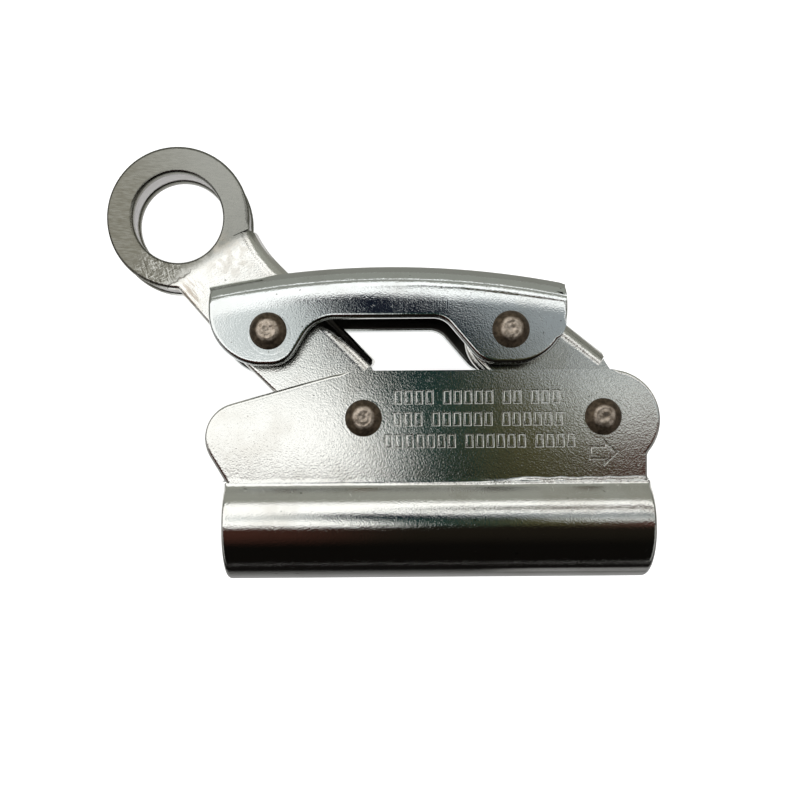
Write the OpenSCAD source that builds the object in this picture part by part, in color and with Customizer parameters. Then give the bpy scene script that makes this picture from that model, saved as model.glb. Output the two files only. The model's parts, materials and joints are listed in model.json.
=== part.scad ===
// Rope grab for a 16 mm lifeline: a folded keyhole body, two cam levers and a handle that links them.
// It lies on its side. X runs along the rope, towards the anchor; Y runs from the rope to the handle; Z is up.
// The origin is the middle of the rope channel, on its axis.

/* [Sheet] */
// Thickness of the pressed steel sheet
sheet_t = 2.5; // [2:0.1:3]
// Radius of the circle segments, as a count of sides
round_sides = 128; // [96:16:192]

/* [Rope channel] */
// Diameter of the rope channel
bore_d = 20; // [18:0.5:20]
// Length of the rope channel
channel_len = 101.7; // [100:0.1:104]

/* [Body cheeks] */
// Clear gap between the two cheeks
cheek_gap = 10; // [9.9:0.1:10.4]
// Height of the cheeks' straight top edge above the rope axis
cheek_top = 37.3; // [37:0.1:38]
// Depth of the stamped marks
stamp_depth = 0.2; // [0.1:0.05:0.5]

/* [Linkage] */
// Height of the body pivots above the rope axis
pivot_y = 26; // [25.8:0.1:26.2]
// Distance along the rope between the two body pivots
pivot_span = 57; // [56.8:0.1:57.2]
// Length of each lever between its two pivots
crank_len = 30.15; // [30:0.05:30.3]
// Angle of the levers at rest, from the rope direction
crank_angle = 137.4; // [137:0.1:138]

/* [Levers] */
// Width of each lever across its two leaves
lever_w = 9.4; // [9.2:0.1:9.6]
// Outer radius of the eye ring
ring_r = 17.2; // [16.8:0.1:17.6]
// Diameter of the eye
eye_d = 21.7; // [21:0.1:22.4]

/* [Handle] */
// Width of the handle over its two skirts
handle_w = 20.6; // [20.4:0.1:21]
// Radius of the arch along the handle's back
arch_r = 215; // [180:5:260]
// Outer radius of the bend between back and skirts
handle_bend_r = 6; // [5.5:0.1:7.6]

/* [Rivets and washers] */
// Diameter of the rivet shanks
shank_d = 6; // [5.6:0.1:6.2]
// Diameter of the domed rivet heads
head_d = 8.8; // [8.4:0.1:9.2]
// Height of the domed rivet heads
head_h = 2.3; // [2:0.1:2.4]
// Radial clearance of a running fit
running_gap = 0.06; // [0.04:0.01:0.09]
// Outer diameter of the spacer washers
washer_d = 8.2; // [8:0.1:8.4]

/* [Hidden] */
$fn = round_sides;

zinc = "#c9cccb";
dark_steel = "#4a3f38";
plain_steel = "#8d8f90";

bore_r = bore_d / 2;
tube_r = bore_r + sheet_t;
cheek_in = cheek_gap / 2;
cheek_out = cheek_in + sheet_t;

// The bend from tube to cheek rolls on a centre outside the crease
crease_r = 2.4;
crease_z = cheek_out + crease_r;
crease_y = sqrt(pow(tube_r + crease_r, 2) - pow(crease_z, 2));

left_pivot = [-17.5, pivot_y];
right_pivot = [left_pivot[0] + pivot_span, pivot_y];
crank = crank_len * [cos(crank_angle), sin(crank_angle)];
left_link = left_pivot + crank;
right_link = right_pivot + crank;

leaf_out = lever_w / 2;
leaf_in = leaf_out - sheet_t;
hole_r = shank_d / 2 + running_gap;
pin_r = 2;
// The soles of the cams stop just outside the rope channel at rest
sole_y = bore_r + 0.3;

skirt_out = handle_w / 2;
skirt_in = skirt_out - sheet_t;
far = 100;

function unit(v) = v / norm(v);
function xy(c) = [c[0], c[1]];

// One rounded corner of an outline whose corners are [x, y, radius]
function corner_at(list, i) =
    let (n = len(list),
         at = xy(list[i]),
         back = unit(xy(list[(i + n - 1) % n]) - at),
         ahead = unit(xy(list[(i + 1) % n]) - at),
         half = acos(back * ahead) / 2,
         r = list[i][2])
    [at, at + back * r / tan(half), at + ahead * r / tan(half),
     at + unit(back + ahead) * r / sin(half), r, cross(ahead, back) > 0];

// A closed outline, run anticlockwise, with true arcs at its rounded corners
module outline(list) {
    corners = [for (i = [0 : len(list) - 1]) corner_at(list, i)];
    difference() {
        union() {
            polygon([for (c = corners) each (c[4] > 0 ? [c[1], c[2]] : [c[0]])]);
            for (c = corners)
                if (c[4] > 0 && c[5]) corner_arc(c);
        }
        for (c = corners)
            if (c[4] > 0 && !c[5]) corner_arc(c);
    }
}

module corner_arc(c) {
    intersection() {
        translate(c[3]) circle(r = c[4]);
        polygon([c[1], c[0], c[2]]);
    }
}

module at(p) {
    translate([p[0], p[1], 0]) children();
}

// A plate drawn in X and Y, from z = low to z = high
module plate(low, high) {
    translate([0, 0, low]) linear_extrude(high - low) children();
}

module both_sides() {
    children();
    mirror([0, 0, 1]) children();
}

module through_hole(p, r) {
    at(p) cylinder(r = r, h = far, center = true);
}

// ---- Body shell: one sheet folded into a rope tube and two cheeks ----

// The triangle between the rope axis and the centres of the two bends
module throat() {
    polygon([[0, 0], [crease_y, -crease_z], [crease_y, crease_z]]);
}

module bend_discs(r) {
    for (side = [-1, 1])
        translate([crease_y, side * crease_z]) circle(r = r);
}

// The folded sheet seen along the rope, with the cheeks pointing along +x of this drawing
module sheet_section() {
    difference() {
        union() {
            circle(r = tube_r);
            throat();
            translate([0, -cheek_out]) square([cheek_top + 1, 2 * cheek_out]);
        }
        bend_discs(crease_r);
        circle(r = bore_r);
        translate([0, -cheek_in]) square([cheek_top + 2, cheek_gap]);
        difference() {
            throat();
            bend_discs(crease_r + sheet_t);
        }
    }
}

// The body seen from the side: the tube's length, then the outline of the cheeks
module body_profile() {
    end_r = 12;
    end_c = [41.3, cheek_top - end_r];
    tube_low = tube_r + 1;
    lap = 1;
    translate([-channel_len / 2, -tube_low]) square([channel_len, tube_low + crease_y]);
    outline([[-50.1, crease_y - lap, 0], [50.1, crease_y - lap, 0], [50.1, end_c[1], 0],
             [end_c[0], end_c[1], 0], [end_c[0], cheek_top, 0], [-21.7, cheek_top, 35], [-60, 26.8, 8.6]]);
    translate(end_c) circle(r = end_r);
}

// A blank frame stands where a stamped character would be
module stamp_frame(w, h, stroke) {
    difference() {
        square([w, h], center = true);
        square([w - 2 * stroke, h - 2 * stroke], center = true);
    }
}

module stamp_row(x, y, groups) {
    pitch = 2.5;
    gap = 1.7;
    starts = [for (i = 0, n = 0; i < len(groups); n = n + groups[i], i = i + 1) n];
    for (g = [0 : len(groups) - 1], k = [0 : groups[g] - 1])
        translate([x + (starts[g] + k) * pitch + g * gap, y]) stamp_frame(1.8, 3.3, 0.34);
}

// A plain arrow outline that points up the rope
module stamp_arrow() {
    shaft = 3.4;
    head = 3.4;
    line = 0.5;
    difference() {
        polygon([[-shaft, -1.7], [0, -1.7], [0, -3.2], [head, 0], [0, 3.2], [0, 1.7], [-shaft, 1.7]]);
        polygon([[-shaft + line, -1.7 + line], [line, -1.7 + line], [line, -3.2 + 2.6 * line],
                 [head - 1.5 * line, 0], [line, 3.2 - 2.6 * line], [line, 1.7 - line],
                 [-shaft + line, 1.7 - line]]);
    }
}

module stamps() {
    stamp_row(-9.3, 30.9, [4, 5, 2, 3]);
    stamp_row(-9.5, 25.7, [3, 6, 6]);
    stamp_row(-11.6, 20.5, [7, 6, 4]);
    translate([39.6, 17.4]) stamp_arrow();
}

module body_shell() {
    color(zinc) difference() {
        intersection() {
            rotate([90, 0, 90]) linear_extrude(2 * far, center = true) sheet_section();
            plate(-far, far) body_profile();
        }
        through_hole(left_pivot, hole_r);
        through_hole(right_pivot, hole_r);
        plate(cheek_out - stamp_depth, cheek_out + 1) stamps();
    }
}

// ---- Levers: each is a sheet folded over into two leaves joined by a round web ----

// How far the fold's edges lap onto the leaves, and the relief cut at each end of the fold
lap = 1.5;
relief = 0.15;

// The folded edge seen along the fold: a half ring with two short legs
module fold_section() {
    intersection() {
        difference() {
            circle(r = leaf_out);
            circle(r = leaf_in);
        }
        translate([-leaf_out, -leaf_out]) square([leaf_out, lever_w]);
    }
    translate([0, leaf_in]) square([lap, sheet_t]);
    translate([0, -leaf_out]) square([lap, sheet_t]);
}

// A straight fold, which may end in a curve that turns away from the leaves
module fold(len, curve, sweep) {
    rotate([90, 0, 90]) linear_extrude(len) fold_section();
    if (sweep > 0)
        translate([len, -curve, 0]) rotate([180, 0, 90])
            rotate_extrude(angle = sweep) translate([curve, 0]) fold_section();
}

// The room that the leaves leave for the fold, which runs along +x with the leaves on its +y side
module fold_room(len, curve, sweep) {
    reach = 9;
    wide = 2 * curve;
    end = sweep + relief / curve * 180 / PI;
    translate([-relief, -reach]) square([len + relief + (sweep > 0 ? 0 : relief), reach + lap / 2]);
    if (sweep > 0) intersection() {
        translate([len, -curve]) circle(r = curve + lap / 2);
        polygon([[len, -curve], [len + wide * sin(end), -curve + wide * cos(end)], [len, -curve + wide]]);
    }
}

// children(0) is the outline of a leaf and children(1) its holes, both drawn in place
module lever(fold_end, dir, len, curve, sweep) {
    at(fold_end) rotate([0, 0, dir]) difference() {
        union() {
            both_sides() plate(leaf_in, leaf_out) difference() {
                rotate(-dir) translate(-fold_end) children(0);
                fold_room(len, curve, sweep);
            }
            fold(len, curve, sweep);
        }
        rotate([0, 0, -dir]) at(-fold_end) children(1);
    }
}

// The cam end below pivot p: a flat sole with a long heel and a round toe, and a neck up to the arm
module cam_outline(p, neck_left, neck_right) {
    heel_x = 32;
    toe_x = 11;
    outline([[p[0] - heel_x, sole_y, 1.2], [p[0] + toe_x, sole_y, toe_x - 0.1],
             [p[0] + toe_x, p[1] - 2, 6], [neck_right[0], neck_right[1], 0],
             [neck_left[0], neck_left[1], 0], [p[0] - heel_x - 1, p[1] - 4, 8]]);
}

module lever_holes(pivot, link, pin_at) {
    through_hole(pivot, hole_r);
    through_hole(link, hole_r);
    through_hole(pin_at, pin_r + running_gap);
}

function along(dir) = [cos(dir), sin(dir)];

// A point beside the fold: x along it from its lower end, and out from its axis, away from the leaves
function beside(fold_end, dir, x, out) = fold_end + x * along(dir) + out * along(dir - 90);

eye_ring = [-62, 75];
eye_neck_left = [-39.1, 32.7];
eye_fold_end = [-17.7, 37.15];
eye_fold_dir = 134.5;
eye_fold_len = 33.94;
eye_flare = beside(eye_fold_end, eye_fold_dir, 0, 2.6);
eye_pin_at = left_pivot + [-10, -8.5];

module eye_lever_outline() {
    edge_low = beside(eye_fold_end, eye_fold_dir, 0, 3);
    edge_high = beside(eye_fold_end, eye_fold_dir, eye_fold_len + 10, 3);
    translate(eye_ring) circle(r = ring_r);
    outline([[eye_ring[0], eye_ring[1], 0], [-62.9, 58.8, 0], [-48.2, 41.6, 60],
             [eye_neck_left[0], eye_neck_left[1], 0], [left_pivot[0], left_pivot[1], 0],
             [edge_low[0], edge_low[1], 0], [edge_high[0], edge_high[1], 0]]);
    cam_outline(left_pivot, eye_neck_left, eye_flare);
}

module eye_lever() {
    color(zinc) lever(eye_fold_end, eye_fold_dir, eye_fold_len, 32.3, 20) {
        eye_lever_outline();
        union() {
            through_hole(eye_ring, eye_d / 2);
            lever_holes(left_pivot, left_link, eye_pin_at);
        }
    }
}

link_head_r = 9.76;
link_neck_left = [17.9, 32];
link_fold_end = [38.66, 38.1];
link_fold_dir = 141.7;
link_fold_len = 14.9;
link_flare = beside(link_fold_end, link_fold_dir, 0, 2.6);
link_pin_at = right_pivot + [-10, -8.5];

module link_lever_outline() {
    head_edge = right_link + link_head_r * along(225);
    edge_low = beside(link_fold_end, link_fold_dir, 0, 3);
    edge_high = beside(link_fold_end, link_fold_dir, link_fold_len, 0.5);
    translate(right_link) circle(r = link_head_r);
    outline([[right_link[0], right_link[1], 0], [head_edge[0], head_edge[1], 0],
             [link_neck_left[0], link_neck_left[1], 0], [right_pivot[0], right_pivot[1], 0],
             [edge_low[0], edge_low[1], 0], [edge_high[0], edge_high[1], 0]]);
    cam_outline(right_pivot, link_neck_left, link_flare);
}

module link_lever() {
    color(zinc) lever(link_fold_end, link_fold_dir, link_fold_len, 1, 0) {
        link_lever_outline();
        lever_holes(right_pivot, right_link, link_pin_at);
    }
}

// A hard cam between the leaves, its sole ribbed across the rope
module cam_insert(p, pin_at) {
    rib_pitch = 2.4;
    rib_r = 0.7;
    rib_count = 12;
    color(plain_steel) difference() {
        plate(-leaf_in, leaf_in) intersection() {
            cam_outline(p, p + [-21.6, 6.7], p + [1.7, 12.9]);
            translate([p[0] - 40, 0]) square([60, p[1] + 7]);
        }
        through_hole(p, hole_r);
        through_hole(pin_at, pin_r + running_gap);
        for (i = [0 : rib_count - 1])
            through_hole([p[0] - 1.5 - i * rib_pitch, sole_y - 0.3], rib_r);
    }
}

module eye_lever_cam() {
    cam_insert(left_pivot, eye_pin_at);
}

module link_lever_cam() {
    cam_insert(right_pivot, link_pin_at);
}

module cam_pin(p) {
    color(plain_steel) at(p) cylinder(r = pin_r, h = lever_w, center = true);
}

module eye_cam_pin() {
    cam_pin(eye_pin_at);
}

module link_cam_pin() {
    cam_pin(link_pin_at);
}

// ---- Handle: an arched channel that straddles both levers ----

handle_left = -53.8;
handle_right = 30.8;
handle_top = 62.5;
handle_bottom = 38.35;
notch_top = 49.35;
slot_end = -25.4;

module handle_section(half_w, top, bend) {
    deep = 40;
    outline([[top - deep, -half_w, 0], [top, -half_w, bend], [top, half_w, bend], [top - deep, half_w, 0]]);
}

module handle_skirt_outline() {
    outline([[handle_left, 80, 0], [handle_left, handle_bottom, 12.5], [-35.4, handle_bottom, 7],
             [-28.7, notch_top, 8], [1.5, notch_top, 5], [10.8, handle_bottom, 8],
             [handle_right, handle_bottom, 12.5], [handle_right, 80, 0]]);
}

module handle() {
    arch_c = [(handle_left + handle_right) / 2, handle_top - arch_r];
    color(zinc) difference() {
        intersection() {
            at(arch_c) rotate([0, 0, 75]) rotate_extrude(angle = 30, $fn = 720) difference() {
                handle_section(skirt_out, arch_r, handle_bend_r);
                handle_section(skirt_in, arch_r - sheet_t, handle_bend_r - sheet_t);
            }
            plate(-far, far) handle_skirt_outline();
        }
        // The slot through which the eye lever leaves the handle
        translate([handle_left - 1, 52, -leaf_out - 0.6]) cube([slot_end - handle_left + 1, 20, lever_w + 1.2]);
        through_hole(left_link, hole_r);
        through_hole(right_link, hole_r);
    }
}

// ---- Rivets: a shank with a domed head at each end ----

module rivet(p, grip) {
    dome_r = (pow(head_d / 2, 2) + pow(head_h, 2)) / (2 * head_h);
    color(dark_steel) at(p) {
        cylinder(d = shank_d, h = 2 * grip, center = true);
        both_sides() translate([0, 0, grip]) intersection() {
            translate([0, 0, head_h - dome_r]) sphere(r = dome_r);
            cylinder(d = head_d + 1, h = head_h + 1);
        }
    }
}

module body_rivet_left() {
    rivet(left_pivot, cheek_out);
}

module body_rivet_right() {
    rivet(right_pivot, cheek_out);
}

module handle_rivet_left() {
    rivet(left_link, skirt_out);
}

module handle_rivet_right() {
    rivet(right_link, skirt_out);
}

// ---- Spacer washers between a lever's leaves and the handle's skirts ----

module spacer(p, side) {
    thick = skirt_in - leaf_out - 0.2;
    low = side > 0 ? skirt_in - thick : -skirt_in;
    color(plain_steel) difference() {
        at(p) translate([0, 0, low]) cylinder(d = washer_d, h = thick);
        through_hole(p, hole_r);
    }
}

module spacer_left_front() {
    spacer(left_link, 1);
}

module spacer_left_back() {
    spacer(left_link, -1);
}

module spacer_right_front() {
    spacer(right_link, 1);
}

module spacer_right_back() {
    spacer(right_link, -1);
}

body_shell();
body_rivet_left();
body_rivet_right();
eye_lever();
eye_lever_cam();
eye_cam_pin();
link_lever();
link_lever_cam();
link_cam_pin();
handle();
handle_rivet_left();
handle_rivet_right();
spacer_left_front();
spacer_left_back();
spacer_right_front();
spacer_right_back();
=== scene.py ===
"""Looks of the rope grab: zinc plated sheet, dark peened rivets, a pale floor and soft studio light."""

import json
import math

import bmesh
import bpy
from mathutils import Euler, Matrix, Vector, noise

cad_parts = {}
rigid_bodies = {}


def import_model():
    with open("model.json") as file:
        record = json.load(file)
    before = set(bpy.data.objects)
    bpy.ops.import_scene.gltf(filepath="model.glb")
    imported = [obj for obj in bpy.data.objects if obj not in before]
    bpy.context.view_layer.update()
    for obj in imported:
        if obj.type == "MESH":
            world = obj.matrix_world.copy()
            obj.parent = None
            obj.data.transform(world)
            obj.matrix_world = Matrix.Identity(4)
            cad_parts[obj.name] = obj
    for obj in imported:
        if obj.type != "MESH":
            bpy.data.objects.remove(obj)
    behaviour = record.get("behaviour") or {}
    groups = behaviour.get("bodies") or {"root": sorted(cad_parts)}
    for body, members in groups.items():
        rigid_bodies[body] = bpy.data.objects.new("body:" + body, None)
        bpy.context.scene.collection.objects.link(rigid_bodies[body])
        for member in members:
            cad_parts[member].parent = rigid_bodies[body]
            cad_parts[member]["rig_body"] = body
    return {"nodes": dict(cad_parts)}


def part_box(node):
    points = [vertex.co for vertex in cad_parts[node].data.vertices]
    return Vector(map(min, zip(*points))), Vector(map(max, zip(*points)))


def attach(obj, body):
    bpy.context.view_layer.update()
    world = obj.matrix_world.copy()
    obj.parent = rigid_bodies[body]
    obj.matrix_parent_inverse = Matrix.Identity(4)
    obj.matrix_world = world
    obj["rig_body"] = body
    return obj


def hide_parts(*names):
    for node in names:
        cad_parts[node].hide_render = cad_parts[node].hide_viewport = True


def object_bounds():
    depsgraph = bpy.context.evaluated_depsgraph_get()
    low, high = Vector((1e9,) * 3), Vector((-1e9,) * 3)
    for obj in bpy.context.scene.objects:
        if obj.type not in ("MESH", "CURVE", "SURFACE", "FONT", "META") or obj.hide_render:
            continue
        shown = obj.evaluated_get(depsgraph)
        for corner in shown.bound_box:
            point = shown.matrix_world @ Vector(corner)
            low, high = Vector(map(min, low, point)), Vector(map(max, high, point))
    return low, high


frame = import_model()
cad_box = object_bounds()
nodes = frame["nodes"]

MM = 0.001
MICRON = 1e-6
scene = bpy.context.scene

# Places on the object, in millimetres
SHEET = 2.5
EYE = (-62, 75)
ARCH_CENTRE = (-11.5, -152.5)
ARCH_RADIUS = 215.0
STRIP_Y = 8.6


# ---- Node helpers ----

class Tree:
    """A thin wrapper that makes node trees short to write."""

    def __init__(self, tree):
        self.tree = tree

    def add(self, kind, **settings):
        node = self.tree.nodes.new(kind)
        for key, value in settings.items():
            setattr(node, key, value)
        return node

    def link(self, source, target):
        self.tree.links.new(source, target)

    def feed(self, socket, value):
        if isinstance(value, bpy.types.NodeSocket):
            self.link(value, socket)
        else:
            socket.default_value = value

    def math(self, operation, a, b=0.0):
        node = self.add("ShaderNodeMath", operation=operation)
        self.feed(node.inputs[0], a)
        self.feed(node.inputs[1], b)
        return node.outputs[0]

    def plus(self, a, b):
        return self.math("ADD", a, b)

    def minus(self, a, b):
        return self.math("SUBTRACT", a, b)

    def times(self, a, b):
        return self.math("MULTIPLY", a, b)

    def larger(self, a, b):
        return self.math("MAXIMUM", a, b)

    def smaller(self, a, b):
        return self.math("MINIMUM", a, b)

    def unsigned(self, a):
        return self.math("ABSOLUTE", a)

    def step(self, value, low, high, to_low=0.0, to_high=1.0):
        node = self.add("ShaderNodeMapRange", interpolation_type="SMOOTHSTEP")
        self.feed(node.inputs[0], value)
        for socket, number in zip(node.inputs[1:5], (low, high, to_low, to_high)):
            socket.default_value = number
        return node.outputs[0]

    def mix(self, factor, a, b, blend="MIX"):
        node = self.add("ShaderNodeMix", data_type="RGBA", blend_type=blend)
        self.feed(node.inputs[0], factor)
        self.feed(node.inputs[6], a)
        self.feed(node.inputs[7], b)
        return node.outputs[2]

    def noise(self, vector, scale, detail=2.0, roughness=0.5, distortion=0.0):
        node = self.add("ShaderNodeTexNoise")
        self.link(vector, node.inputs["Vector"])
        node.inputs["Scale"].default_value = scale
        node.inputs["Detail"].default_value = detail
        node.inputs["Roughness"].default_value = roughness
        node.inputs["Distortion"].default_value = distortion
        return node.outputs[0]

    def millimetres(self, turn=0.0, stretch=(1, 1, 1)):
        """The object's own coordinates in millimetres, turned about Z by degrees and then stretched."""
        coord = self.add("ShaderNodeTexCoord")
        mapping = self.add("ShaderNodeMapping", vector_type="TEXTURE")
        mapping.inputs["Rotation"].default_value = (0, 0, math.radians(turn))
        mapping.inputs["Scale"].default_value = [MM / s for s in stretch]
        self.link(coord.outputs["Object"], mapping.inputs["Vector"])
        return mapping.outputs[0]

    def axes(self, vector):
        """A vector's three numbers."""
        split = self.add("ShaderNodeSeparateXYZ")
        self.link(vector, split.inputs[0])
        return tuple(split.outputs)

    def across(self, point, normal):
        """How far past a plane a spot lies, in millimetres. The plane holds point, square to normal."""
        dot = self.add("ShaderNodeVectorMath", operation="DOT_PRODUCT")
        self.link(self.millimetres(), dot.inputs[0])
        dot.inputs[1].default_value = normal
        return self.minus(dot.outputs["Value"], sum(a * b for a, b in zip(point, normal)))

    def distance(self, vector, point):
        node = self.add("ShaderNodeVectorMath", operation="DISTANCE")
        self.link(vector, node.inputs[0])
        node.inputs[1].default_value = point
        return node.outputs["Value"]

    def plan_distance(self, point):
        """How far a spot lies from a point in plan, in millimetres."""
        flat = self.add("ShaderNodeVectorMath", operation="MULTIPLY")
        self.link(self.millimetres(), flat.inputs[0])
        flat.inputs[1].default_value = (1, 1, 0)
        return self.distance(flat.outputs["Vector"], (*point, 0))

    def near(self, point, inner, outer):
        """1 within inner millimetres of a point, falling to 0 at outer."""
        return self.step(self.distance(self.millimetres(), point), outer, inner)

    def bump(self, shader, height, unit):
        """Shade a surface by a height, which is counted in units of that many metres."""
        node = self.add("ShaderNodeBump")
        node.inputs["Distance"].default_value = unit
        self.link(height, node.inputs["Height"])
        self.link(node.outputs[0], shader.inputs["Normal"])


def new_material(name):
    material = bpy.data.materials.new(name)
    material.use_nodes = True
    material.node_tree.nodes.clear()
    tree = Tree(material.node_tree)
    shader = tree.add("ShaderNodeBsdfPrincipled")
    out = tree.add("ShaderNodeOutputMaterial")
    tree.link(shader.outputs[0], out.inputs["Surface"])
    return material, tree, shader


def rgb(red, green, blue):
    return (red, green, blue, 1.0)


def middle(node_name):
    """Where a node's middle lies in plan, in millimetres."""
    low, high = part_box(node_name)
    return tuple((low + high).xy / 2 / MM)


def inside_of(node_name):
    """How high a folded sheet's inner face lies, in millimetres."""
    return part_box(node_name)[1].z / MM - SHEET


# ---- Materials ----

def scratches(tree, turns, density, width=0.022):
    """Fine straight scratches: the middle lines of long thin noise cells, each set turned and masked."""
    total = None
    for i, turn in enumerate(turns):
        cells = tree.noise(tree.millimetres(turn, (0.05, 0.9, 0.3)), 1.0, 1.0, 0.4)
        line = tree.step(tree.unsigned(tree.minus(cells, 0.5)), width, 0.0)
        mask = tree.noise(tree.millimetres(turn + 31 + 5 * i, (0.22, 0.5, 0.5)), 1.0, 2.0)
        line = tree.times(line, tree.step(mask, 0.66 - density, 0.74 - density))
        total = line if total is None else tree.larger(total, line)
    return total


def zinc_material(name, tone, stain, rough, peel, density, finish=None):
    """Bright zinc on pressed steel: mirror-like, with orange peel, faint waves, stains and scratches."""
    material, tree, shader = new_material(name)
    plain = tree.millimetres()
    patches = tree.noise(plain, 0.07, 4.0, 0.6)
    grain = tree.noise(plain, 2.6, 2.0, 0.6)
    lines = scratches(tree, (8, 64, 98, 139), density)
    pits = tree.step(tree.noise(plain, 0.9, 1.0), 0.25, 0.20)
    colour = tree.mix(tree.step(patches, 0.46, 0.70), tone, stain)
    colour = tree.mix(tree.times(pits, 0.6), colour, rgb(0.14, 0.13, 0.11))
    roughness = tree.plus(tree.step(patches, 0.3, 0.7, rough - 0.015, rough + 0.03),
                          tree.times(lines, 0.12))
    height = tree.times(tree.noise(plain, 0.10, 1.0), 30.0)
    height = tree.plus(height, tree.times(grain, 34.0 * peel))
    height = tree.plus(height, tree.times(tree.noise(plain, 0.7, 1.0), 5.0 * peel))
    height = tree.minus(height, tree.times(lines, 2.5))
    metal = 1.0
    if finish:
        colour, roughness, height, metal = finish(tree, plain, colour, roughness, height)
    tree.feed(shader.inputs["Metallic"], metal)
    tree.link(colour, shader.inputs["Base Color"])
    tree.link(roughness, shader.inputs["Roughness"])
    tree.bump(shader, height, MICRON)
    return material


def press_mark(tree, rivet, off_x, off_y, radius):
    """A faint ring that the riveting tool pressed into a face, a little off the rivet's middle."""
    x, y = middle(rivet)
    distance = tree.plan_distance((x + off_x, y + off_y))
    return tree.step(tree.unsigned(tree.minus(distance, radius)), 0.35, 0.05)


def body_finish(tree, plain, colour, roughness, height):
    """The body carries faint press marks round its rivets and a raised lip along the right of its crease."""
    for rivet in ("body_rivet_left", "body_rivet_right"):
        mark = press_mark(tree, rivet, 0.2, -0.3, 5.0)
        height = tree.minus(height, tree.times(mark, 4.0))
    x, y, z = tree.axes(plain)
    wander = tree.minus(tree.noise(tree.millimetres(0, (1, 0.05, 0.05)), 0.11, 2.0), 0.5)
    line = tree.plus(y, tree.times(wander, 2.2))
    share = tree.times(tree.step(x, 6.0, 26.0, 0.12, 1.0), tree.step(x, 53.0, 48.0))
    lip = tree.times(tree.step(line, 11.8, 10.6), tree.times(share, 330.0))
    front = tree.step(z, 6.0, 8.0)
    height = tree.plus(height, tree.times(lip, front))
    # The steep strip under the crease is satin
    strip = tree.step(tree.unsigned(tree.minus(y, STRIP_Y)), 1.8, 1.0)
    strip = tree.times(strip, front)
    roughness = tree.plus(roughness, tree.times(strip, 0.12))
    return colour, roughness, height, 1.0


def ring_finish(tree, plain, colour, roughness, height):
    """The eye ring is duller and olive-grey, with hatched tool marks where it meets the arm."""
    ragged = tree.times(tree.minus(tree.noise(plain, 0.5, 3.0), 0.5), 3.0)
    edge = tree.plus(tree.across((-64.9, 58.9, 0), (0.524, -0.852, 0)), ragged)
    dull = tree.step(edge, 2.2, -1.4)
    # Painted shade: the dull tone runs darker towards the left of the eye and lighter towards the right.
    side = tree.step(tree.across((*EYE, 0), (0.94, 0.34, 0)), -14.0, 15.0)
    dull_tone = tree.mix(side, rgb(0.150, 0.143, 0.113), rgb(0.27, 0.272, 0.25))
    brushed = tree.noise(tree.millimetres(-6, (0.5, 3.0, 1)), 1.0, 3.0, 0.6)
    dull_tone = tree.mix(tree.step(brushed, 0.3, 0.7, 0.0, 0.4), dull_tone, rgb(0.33, 0.33, 0.30))
    colour = tree.mix(dull, colour, dull_tone)
    # Faint brown stains on the neck
    tint = tree.step(tree.noise(plain, 0.5, 3.0), 0.42, 0.62)
    tint = tree.times(tint, tree.near((-50, 65, 5), 2.0, 9.0))
    colour = tree.mix(tree.times(tint, 0.4), colour, rgb(0.42, 0.37, 0.30))
    streaks = tree.step(tree.noise(tree.millimetres(-48, (0.25, 1.6, 0.3)), 1.0, 3.0), 0.45, 0.62)
    streaks = tree.times(tree.near((-59.5, 56.0, 5), 1.5, 5.5), streaks)
    colour = tree.mix(tree.times(streaks, 0.7), colour, rgb(0.40, 0.32, 0.24))
    # Hatched tool marks, with painted highlights and painted shade on them, which end in a crease
    marks = tree.noise(tree.millimetres(28, (0.8, 4.4, 0.3)), 1.0, 2.0, 0.5)
    cross = tree.noise(tree.millimetres(-70, (0.6, 3.6, 0.3)), 1.0, 2.0, 0.5)
    zone = tree.times(tree.near((-66.5, 61.8, 5), 3.0, 8.0), tree.step(edge, 1.0, -0.4))
    # Painted highlight: light lines along the tool marks.
    light = tree.times(zone, tree.step(tree.larger(marks, cross), 0.57, 0.66))
    colour = tree.mix(tree.times(light, 0.5), colour, rgb(0.80, 0.80, 0.76))
    # Painted shade: dark lines in the tool marks.
    painted_shade_marks = tree.times(zone, tree.step(tree.smaller(marks, cross), 0.42, 0.34))
    colour = tree.mix(tree.times(painted_shade_marks, 0.7), colour, rgb(0.07, 0.065, 0.05))
    hatch = tree.plus(tree.times(marks, 40.0), tree.times(cross, 30.0))
    height = tree.plus(height, tree.times(hatch, zone))
    # A crack where the tool marks end: a groove, with painted shade along it.
    crack_and_shade = tree.step(tree.unsigned(tree.minus(edge, 0.6)), 0.30, 0.05)
    crack_and_shade = tree.times(crack_and_shade, tree.near((-62.3, 60.2, 5), 2.5, 6.0))
    colour = tree.mix(tree.times(crack_and_shade, 0.75), colour, rgb(0.10, 0.09, 0.07))
    height = tree.minus(height, tree.times(crack_and_shade, 30.0))
    roughness = tree.plus(roughness, tree.times(dull, 0.08))
    # Painted light: the faces inside the fold are light grey, rough and barely metallic, so that they show
    # as a lit band
    depth = tree.unsigned(tree.axes(plain)[2])
    leaf_in = inside_of("eye_lever")
    inner = tree.step(depth, leaf_in + 0.15, leaf_in + 0.02)
    inner = tree.times(inner, tree.near((*EYE, 0), 20.0, 26.0))
    colour = tree.mix(inner, colour, rgb(0.60, 0.59, 0.585))
    roughness = tree.plus(roughness, tree.times(inner, 0.4))
    return colour, roughness, height, tree.minus(1.0, tree.times(inner, 0.75))


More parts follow.
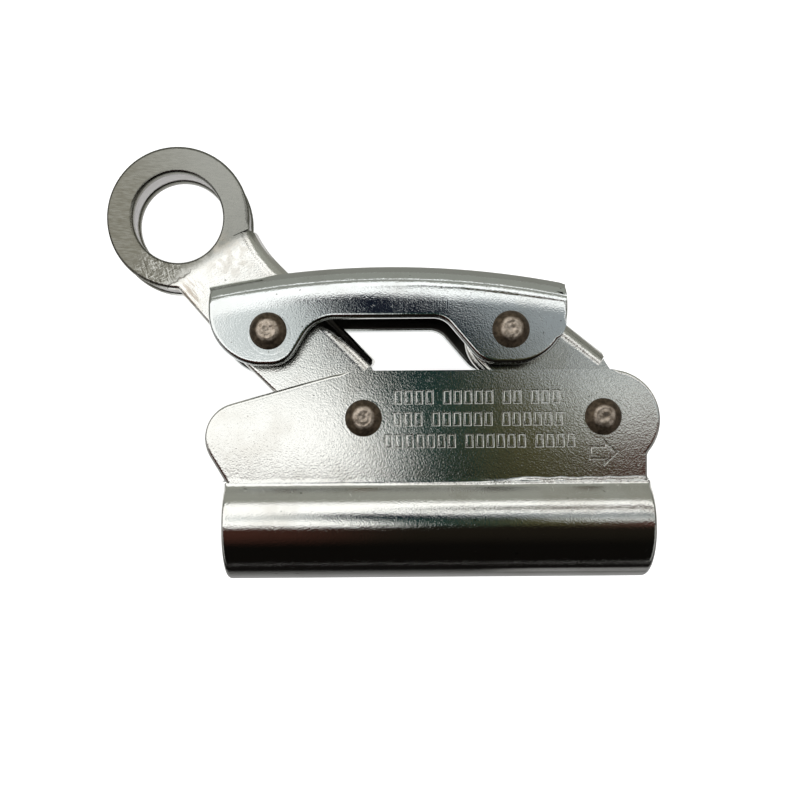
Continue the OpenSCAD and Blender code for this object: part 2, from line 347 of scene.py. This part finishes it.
def handle_finish(tree, plain, colour, roughness, height):
    """The handle's faces lean over gently before they bend, and carry short strokes near the middle."""
    radius = tree.plan_distance(ARCH_CENTRE)
    past = tree.larger(tree.minus(radius, ARCH_RADIUS - 9.3), 0.0)
    lean = tree.times(tree.times(past, past), 15.0)
    height = tree.minus(height, tree.smaller(lean, 400.0))
    strokes = tree.noise(tree.millimetres(88, (0.12, 2.4, 0.3)), 1.0, 2.0, 0.5)
    zone = tree.larger(tree.near((-9, 53, 10), 1.0, 5.0), tree.near((1.5, 53, 10), 1.0, 3.5))
    height = tree.plus(height, tree.times(tree.times(strokes, zone), 36.0))
    mark = press_mark(tree, "handle_rivet_left", 0.3, -0.7, 5.1)
    height = tree.minus(height, tree.times(mark, 7.0))
    # Painted shade: the channel's inner faces are dark and rougher, for the shade inside the channel
    depth = tree.unsigned(tree.axes(plain)[2])
    skirt_in = inside_of("handle")
    between = tree.step(depth, skirt_in + 0.2, skirt_in + 0.02)
    under = tree.step(radius, ARCH_RADIUS - 2.1, ARCH_RADIUS - 2.3)
    inner = tree.times(between, under)
    colour = tree.mix(inner, colour, rgb(0.045, 0.042, 0.038))
    roughness = tree.plus(roughness, tree.times(inner, 0.3))
    return colour, roughness, height, 1.0


def rivet_material(name):
    """Dark blackened steel, rubbed lighter where the head was peened."""
    material, tree, shader = new_material(name)
    plain = tree.millimetres()
    mottled = tree.noise(plain, 0.9, 4.0, 0.65)
    attribute = tree.add("ShaderNodeAttribute", attribute_name="peened")
    worn = tree.times(attribute.outputs["Fac"], tree.step(mottled, 0.25, 0.6, 0.55, 1.0))
    dark = tree.mix(tree.step(mottled, 0.35, 0.7), rgb(0.070, 0.052, 0.036), rgb(0.165, 0.125, 0.086))
    pale = tree.mix(tree.step(mottled, 0.3, 0.7), rgb(0.34, 0.28, 0.22), rgb(0.68, 0.59, 0.50))
    tree.link(tree.mix(worn, dark, pale), shader.inputs["Base Color"])
    shader.inputs["Metallic"].default_value = 0.9
    tree.link(tree.step(mottled, 0.3, 0.7, 0.36, 0.52), shader.inputs["Roughness"])
    tree.bump(shader, tree.noise(plain, 3.0, 3.0, 0.6), 10 * MICRON)
    return material


def steel_material(name, tone, rough):
    """Plain machined steel for the cams, pins and washers."""
    material, tree, shader = new_material(name)
    plain = tree.millimetres()
    patches = tree.noise(plain, 0.25, 3.0, 0.6)
    turned = tree.noise(tree.millimetres(20, (0.2, 6, 1)), 1.0, 2.0)
    colour = tree.mix(tree.step(patches, 0.4, 0.7), tone, rgb(0.24, 0.23, 0.21))
    tree.link(colour, shader.inputs["Base Color"])
    shader.inputs["Metallic"].default_value = 1.0
    tree.link(tree.step(turned, 0.3, 0.7, rough - 0.05, rough + 0.12), shader.inputs["Roughness"])
    tree.bump(shader, turned, 4 * MICRON)
    return material


body_zinc = zinc_material("body_zinc", rgb(0.82, 0.82, 0.79), rgb(0.74, 0.73, 0.69),
                          rough=0.07, peel=1.0, density=0.02, finish=body_finish)
eye_zinc = zinc_material("eye_zinc", rgb(0.90, 0.90, 0.87), rgb(0.80, 0.78, 0.73),
                         rough=0.10, peel=1.1, density=0.08, finish=ring_finish)
link_zinc = zinc_material("link_zinc", rgb(0.74, 0.74, 0.71), rgb(0.66, 0.65, 0.60),
                          rough=0.10, peel=1.1, density=0.04)
handle_zinc = zinc_material("handle_zinc", rgb(0.79, 0.82, 0.82), rgb(0.73, 0.75, 0.74),
                            rough=0.065, peel=0.7, density=0.05, finish=handle_finish)
dark_rivet = rivet_material("dark_rivet")
cam_steel = steel_material("cam_steel", rgb(0.40, 0.39, 0.37), 0.36)
washer_steel = steel_material("washer_steel", rgb(0.52, 0.52, 0.50), 0.30)

MATERIAL_OF = {
    "body_shell": body_zinc,
    "eye_lever": eye_zinc,
    "link_lever": link_zinc,
    "handle": handle_zinc,
    "eye_lever_cam": cam_steel,
    "link_lever_cam": cam_steel,
    "eye_cam_pin": washer_steel,
    "link_cam_pin": washer_steel,
}
for name, node in nodes.items():
    material = MATERIAL_OF.get(name, dark_rivet if "rivet" in name else washer_steel)
    node.data.materials.clear()
    node.data.materials.append(material)


# ---- Rivets: a peened head at each end of the shank ----

HEAD_H = 2.3
PEENED_R = 2.15
SHANK_SHOWN_R = 3.5


def peened_height(x, y, radius, height, seed):
    """The head's surface above its seat at (x, y), and how much of that spot is peened, in millimetres."""
    r = math.hypot(x, y)
    dome_r = (radius ** 2 + height ** 2) / (2 * height)
    z = height - dome_r + math.sqrt(max(dome_r ** 2 - r * r, 0.0))
    wobble = 0.22 * noise.noise(Vector((x * 0.5, y * 0.5, seed)))
    share = 1.0 - min(max((r - PEENED_R - wobble) / 0.75, 0.0), 1.0)
    share = share * share * (3 - 2 * share)
    flat = height - 0.40 + 0.08 * math.cos(r * 4.2 + math.atan2(y, x) + seed) * min(r, 1.0)
    flat -= 0.28 * math.exp(-((x - 0.25) ** 2 + (y + 0.2) ** 2) / 0.35)
    flat += 0.10 * noise.noise(Vector((x * 1.6, y * 1.6, seed + 5)))
    z = z * (1 - share) + min(flat, z) * share
    return max(z, 0.0), share


def rivet_piece(node_name, seed):
    """A rivet whose heads are finely peened, in place of the CAD one."""
    low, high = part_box(node_name)
    centre = (low + high) / 2
    radius = (high.x - low.x) / 2 / MM
    seat = high.z / MM - HEAD_H
    rings, spokes = 34, 72
    mesh = bpy.data.meshes.new(node_name + "_peened")
    build = bmesh.new()
    peened = build.verts.layers.float.new("peened")
    turns = [(math.cos(2 * math.pi * k / spokes), math.sin(2 * math.pi * k / spokes)) for k in range(spokes)]

    def ring(side, r, spots):
        """One ring of vertices: each spot has its height and how much of it is peened."""
        made = []
        for (c, s), (z, share) in zip(turns, spots):
            v = build.verts.new((centre.x + r * MM * c, centre.y + r * MM * s, centre.z + side * z * MM))
            v[peened] = share
            made.append(v)
        return made

    ends = []
    for side in (1, -1):
        side_seed = seed + 9 * side
        loops = []
        for i in range(rings):
            r = radius * math.sin(0.5 * math.pi * (i + 1) / rings)
            spots = [peened_height(r * c, r * s, radius, HEAD_H, side_seed) for c, s in turns]
            loops.append(ring(side, r, [(seat + z, share) for z, share in spots]))
        loops.append(ring(side, SHANK_SHOWN_R, [(seat, 0.0)] * spokes))
        z, share = peened_height(0, 0, radius, HEAD_H, side_seed)
        tip = build.verts.new((centre.x, centre.y, centre.z + side * (seat + z) * MM))
        tip[peened] = share
        for k in range(spokes):
            build.faces.new((tip, loops[0][k], loops[0][(k + 1) % spokes]))
        for a, b in zip(loops, loops[1:]):
            for k in range(spokes):
                n = (k + 1) % spokes
                build.faces.new((a[k], b[k], b[n], a[n]))
        ends.append(loops[-1])
    for k in range(spokes):
        n = (k + 1) % spokes
        build.faces.new((ends[0][k], ends[1][k], ends[1][n], ends[0][n]))
    bmesh.ops.recalc_face_normals(build, faces=build.faces)
    build.to_mesh(mesh)
    build.free()
    for polygon in mesh.polygons:
        polygon.use_smooth = True
    piece = bpy.data.objects.new(node_name + "_peened", mesh)
    scene.collection.objects.link(piece)
    mesh.materials.append(dark_rivet)
    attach(piece, nodes[node_name]["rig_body"])
    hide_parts(node_name)


for seed, name in enumerate(sorted(n for n in nodes if "rivet" in n)):
    rivet_piece(name, 3.7 * seed + 1.0)


# ---- Pressed sheets: the CAD shapes with their cut edges rounded ----

# In plan: the small cuts at the ends of the levers' folds, and the pivots
RELIEFS = [(-47.8, 70.6), (-17.7, 37.2), (38.7, 38.1), (27.0, 47.3)]
PIVOTS = [middle(n) for n in sorted(nodes) if "rivet" in n]
STAMPED_BEVEL = 0.08
# The share of a circle segment that makes the rims' rounding a superellipse of power 2.5
RIM_PROFILE = 0.574


def places_of(edge):
    """An edge's two ends, in millimetres."""
    return [v.co / MM for v in edge.verts]


def in_stamps(edge):
    """Is an edge part of the stamped marks on the front cheek?"""
    return all(p.z > 7 and -14 < p.x < 45 and 13 < p.y < 34 for p in places_of(edge))


def close_to(edge, places, reach):
    return any(math.hypot(p.x - x, p.y - y) < reach for p in places_of(edge) for x, y in places)


def in_slot(edge):
    """Is an edge part of the slot in the handle's left end?"""
    return any(p.x < -24 and p.y > 50 and abs(p.z) < 8.2 for p in places_of(edge))


def sheet_piece(node_name, width, material):
    """A copy of a CAD sheet, its stamped marks softened and its rims rounded to a width in millimetres."""
    build = bmesh.new()
    build.from_mesh(nodes[node_name].data)
    bmesh.ops.remove_doubles(build, verts=build.verts, dist=MICRON)
    bmesh.ops.dissolve_limit(build, angle_limit=math.radians(0.3), verts=build.verts, edges=build.edges)
    bmesh.ops.dissolve_degenerate(build, edges=build.edges, dist=3e-5)
    sharp = [e for e in build.edges if len(e.link_faces) == 2 and e.calc_face_angle(0.0) > math.radians(40)]
    sharp = [e for e in sharp if not close_to(e, PIVOTS, 4.2) and not close_to(e, RELIEFS, 3.4)
             and not (node_name == "handle" and in_slot(e))]
    stamped = [e for e in sharp if in_stamps(e)] if node_name == "body_shell" else []
    rim = [e for e in sharp if e not in set(stamped)]
    for edges, offset, segments, profile in ((stamped, STAMPED_BEVEL, 2, 0.5), (rim, width, 6, RIM_PROFILE)):
        edges = [e for e in edges if e.is_valid]
        bmesh.ops.bevel(build, geom=edges, offset=offset * MM, offset_type="OFFSET", segments=segments,
                        profile=profile, affect="EDGES", clamp_overlap=False)
    mesh = bpy.data.meshes.new(node_name + "_sheet")
    build.to_mesh(mesh)
    build.free()
    mesh.materials.clear()
    mesh.materials.append(material)
    for polygon in mesh.polygons:
        polygon.use_smooth = True
        polygon.material_index = 0
    mesh.set_sharp_from_angle(angle=math.radians(38))
    piece = bpy.data.objects.new(node_name + "_sheet", mesh)
    scene.collection.objects.link(piece)
    weighted = piece.modifiers.new("weighted", "WEIGHTED_NORMAL")
    weighted.keep_sharp = True
    weighted.weight = 90
    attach(piece, nodes[node_name]["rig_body"])
    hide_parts(node_name)


sheet_piece("body_shell", 1.15, body_zinc)
sheet_piece("eye_lever", 1.05, eye_zinc)
sheet_piece("link_lever", 1.05, link_zinc)
sheet_piece("handle", 1.15, handle_zinc)


# ---- Floor, light and camera ----

FLOOR_Z = cad_box[0].z
# Half the side of the floor, and of the two wider planes that only polished metal sees, in metres
FLOOR_HALF = 12.0
SURROUND_HALF = 60.0
CEILING_Z = 0.2185
# The ceiling's u and v are 0 above this place, and 1 this much further along, in millimetres
CENTRE_X, CENTRE_Y = -13.55, 9.24
SPAN = 418.0


def level_plane(name, z, half):
    """A square plane of the stage, level at height z."""
    mesh = bpy.data.meshes.new(name)
    corners = [(half * x, half * y, z) for x, y in ((-1, -1), (1, -1), (1, 1), (-1, 1))]
    mesh.from_pydata(corners, [], [(0, 1, 2, 3)])
    plane = bpy.data.objects.new(name, mesh)
    scene.collection.objects.link(plane)
    return plane


def only_mirrored(plane):
    """Let only glossy surfaces see a plane."""
    plane.visible_camera = False
    plane.visible_diffuse = False
    plane.visible_shadow = False
    plane.visible_transmission = False


def glow_material(name):
    """A material that only gives off light: its tree, and a function that takes the finished colour."""
    material = bpy.data.materials.new(name)
    material.use_nodes = True
    material.node_tree.nodes.clear()
    tree = Tree(material.node_tree)
    glow = tree.add("ShaderNodeEmission")
    out = tree.add("ShaderNodeOutputMaterial")
    tree.link(glow.outputs[0], out.inputs["Surface"])
    return material, tree, lambda colour: tree.feed(glow.inputs["Color"], colour)


def white_floor():
    """The pale floor that shows."""
    plane = level_plane("floor", FLOOR_Z - 20 * MICRON, FLOOR_HALF)
    material, tree, shader = new_material("floor_white")
    shader.inputs["Base Color"].default_value = rgb(0.42, 0.42, 0.42)
    shader.inputs["Roughness"].default_value = 0.9
    shader.inputs["Emission Color"].default_value = rgb(1, 1, 1)
    shader.inputs["Emission Strength"].default_value = 0.80
    plane.data.materials.append(material)
    plane.visible_glossy = False


def mirrored_floor():
    """What polished metal sees of the floor: white paper, shaded on the rope side, and the dim room."""
    plane = level_plane("mirrored_floor", FLOOR_Z, SURROUND_HALF)
    material, tree, finish = glow_material("floor_mirrored")
    x, y, z = tree.axes(tree.millimetres())
    strip = tree.mix(tree.step(y, -46.0, -14.0), rgb(0.075, 0.075, 0.072), rgb(0.33, 0.33, 0.33))
    colour = tree.mix(tree.step(y, -13.0, 0.0), strip, rgb(0.85, 0.85, 0.84))
    colour = tree.mix(tree.step(y, -45.0, -50.0), colour, rgb(0.006, 0.0055, 0.005))
    away = tree.step(tree.unsigned(tree.plus(x, 15.0)), 100.0, 170.0)
    colour = tree.mix(away, colour, rgb(0.05, 0.05, 0.048))
    # Greyer past the handle, but not under the eye
    under_eye = tree.near((*EYE, FLOOR_Z / MM), 13.0, 20.0)
    behind = tree.times(tree.step(y, 55.0, 62.0), tree.minus(1.0, under_eye))
    finish(tree.mix(behind, colour, rgb(0.25, 0.25, 0.22)))
    plane.data.materials.append(material)
    only_mirrored(plane)


def white_side(tree, u, v):
    """The ceiling's white side, grey above the handle's left end and towards the right."""
    patch = tree.times(tree.step(u, -0.20, -0.17), tree.step(v, 0.115, 0.14))
    patch = tree.times(patch, tree.step(v, 0.235, 0.215))
    colour = tree.mix(patch, rgb(1.28, 1.28, 1.26), rgb(0.69, 0.72, 0.71))
    paler = tree.times(tree.step(u, 0.18, 0.24), tree.step(v, 0.14, 0.11))
    grey = tree.mix(paler, rgb(0.32, 0.345, 0.355), rgb(0.80, 0.83, 0.81))
    return tree.mix(tree.times(tree.step(u, 0.06, 0.12), tree.step(v, 0.29, 0.25)), colour, grey)


def dark_shape(tree, u, v, colour):
    """A dark shape that leans to the left towards the handle side, and a dull one beyond it."""
    steep = tree.plus(u, tree.times(v, 0.95))
    shallow = tree.plus(u, tree.times(v, 0.4))
    left = tree.larger(tree.step(steep, 0.115, 0.15), tree.step(shallow, -0.005, 0.045))
    right = tree.step(steep, 0.335, 0.265)
    shape = tree.times(tree.times(left, right), tree.step(v, 0.285, 0.262))
    lower = tree.mix(tree.step(u, 0.10, 0.125), rgb(0.012, 0.038, 0.032), rgb(0.075, 0.070, 0.032))
    colour = tree.mix(shape, colour, tree.mix(tree.step(v, 0.13, 0.17), lower, rgb(0.006, 0.009, 0.018)))
    reach = tree.times(tree.smaller(tree.larger(u, -0.1), 0.13), 0.9)
    below_top = tree.step(tree.minus(v, reach), 0.385, 0.355)
    beyond = tree.times(tree.times(left, below_top), tree.step(v, 0.34, 0.37))
    olive = tree.mix(tree.step(u, 0.20, 0.26), rgb(0.060, 0.056, 0.034), rgb(0.078, 0.056, 0.043))
    return tree.mix(beyond, colour, tree.mix(tree.step(u, 0.09, 0.14), rgb(0.033, 0.046, 0.037), olive))


def dim_room(tree, u, v, colour):
    """The dim room on the rope side: brown at the left, red at the near right, and black further out."""
    room = tree.mix(tree.step(u, -0.14, 0.02), rgb(0.052, 0.021, 0.015), rgb(0.012, 0.010, 0.007))
    red = tree.times(tree.step(u, 0.22, 0.30), tree.step(v, -0.06, -0.02))
    room = tree.mix(red, room, rgb(0.085, 0.040, 0.032))
    room = tree.mix(tree.step(v, -0.12, -0.5), room, rgb(0.0042, 0.0038, 0.0032))
    rope_side = tree.step(v, 0.008, -0.012)
    red_end = tree.times(tree.step(u, 0.235, 0.27), tree.step(v, 0.085, 0.06))
    return tree.mix(tree.larger(rope_side, red_end), colour, room)


def walls(tree, u, v, colour):
    """The walls past the ceiling's edges: behind the handle, far to both sides, and pale beside the rope."""
    colour = tree.mix(tree.step(v, 0.71, 0.77), colour, rgb(0.31, 0.317, 0.28))
    far = tree.minus(tree.unsigned(u), tree.times(tree.larger(v, 0.0), 0.7))
    far = tree.times(tree.step(far, 0.75, 1.3), tree.step(v, -0.3, 0.0))
    colour = tree.mix(far, colour, rgb(0.07, 0.07, 0.065))
    beside = tree.minus(tree.unsigned(u), tree.times(tree.larger(tree.times(v, -1.0), 0.0), 0.45))
    beside = tree.times(tree.step(beside, 0.5, 0.9), tree.step(v, 0.0, -0.1))
    return tree.mix(beside, colour, rgb(0.34, 0.34, 0.33))


def ceiling():
    """What polished metal sees overhead. It is drawn by u and v, which run along X and Y."""
    plane = level_plane("ceiling", CEILING_Z, SURROUND_HALF)
    material, tree, finish = glow_material("ceiling_glow")
    x, y, z = tree.axes(tree.millimetres())
    rough_edge = tree.minus(tree.noise(tree.millimetres(), 0.02, 3.0), 0.5)
    u = tree.math("DIVIDE", tree.minus(x, CENTRE_X), SPAN)
    v = tree.math("DIVIDE", tree.minus(y, CENTRE_Y), SPAN)
    u = tree.plus(u, tree.times(rough_edge, 0.03))
    v = tree.plus(v, tree.times(rough_edge, 0.02))
    colour = white_side(tree, u, v)
    colour = dark_shape(tree, u, v, colour)
    colour = dim_room(tree, u, v, colour)
    finish(walls(tree, u, v, colour))
    plane.data.materials.append(material)
    only_mirrored(plane)


def backdrop():
    """A plain pale surround."""
    world = bpy.data.worlds.new("studio")
    scene.world = world
    world.use_nodes = True
    world.node_tree.nodes.clear()
    tree = Tree(world.node_tree)
    background = tree.add("ShaderNodeBackground")
    background.inputs["Color"].default_value = rgb(0.86, 0.86, 0.85)
    out = tree.add("ShaderNodeOutputWorld")
    tree.link(background.outputs[0], out.inputs["Surface"])


def soft_sun():
    """A sun that lights the floor and casts soft shadows, and stays out of the mirror finish."""
    data = bpy.data.lights.new("soft_sun", "SUN")
    data.energy = 1.6
    data.angle = math.radians(80)
    sun = bpy.data.objects.new("soft_sun", data)
    sun.location = (0, 0, 1.0)
    sun.rotation_euler = Euler((math.radians(12), math.radians(8), 0))
    sun.visible_glossy = False
    scene.collection.objects.link(sun)


def studio_camera():
    """A camera straight above the object, shifted so that the object sits low in the frame."""
    data = bpy.data.cameras.new("camera")
    data.sensor_width = 36.0
    data.lens = 40.23
    data.shift_x = 0.025
    data.shift_y = 0.1125
    data.clip_start = 0.01
    data.clip_end = 20.0
    camera = bpy.data.objects.new("camera", data)
    camera.location = (-13.7 * MM, 8.91 * MM, 219.96 * MM)
    camera.rotation_euler = (0.0, 0.0, math.radians(-0.42))
    scene.collection.objects.link(camera)
    scene.camera = camera


white_floor()
mirrored_floor()
ceiling()
backdrop()
soft_sun()
studio_camera()
scene.view_settings.view_transform = "Standard"
scene.view_settings.look = "None"
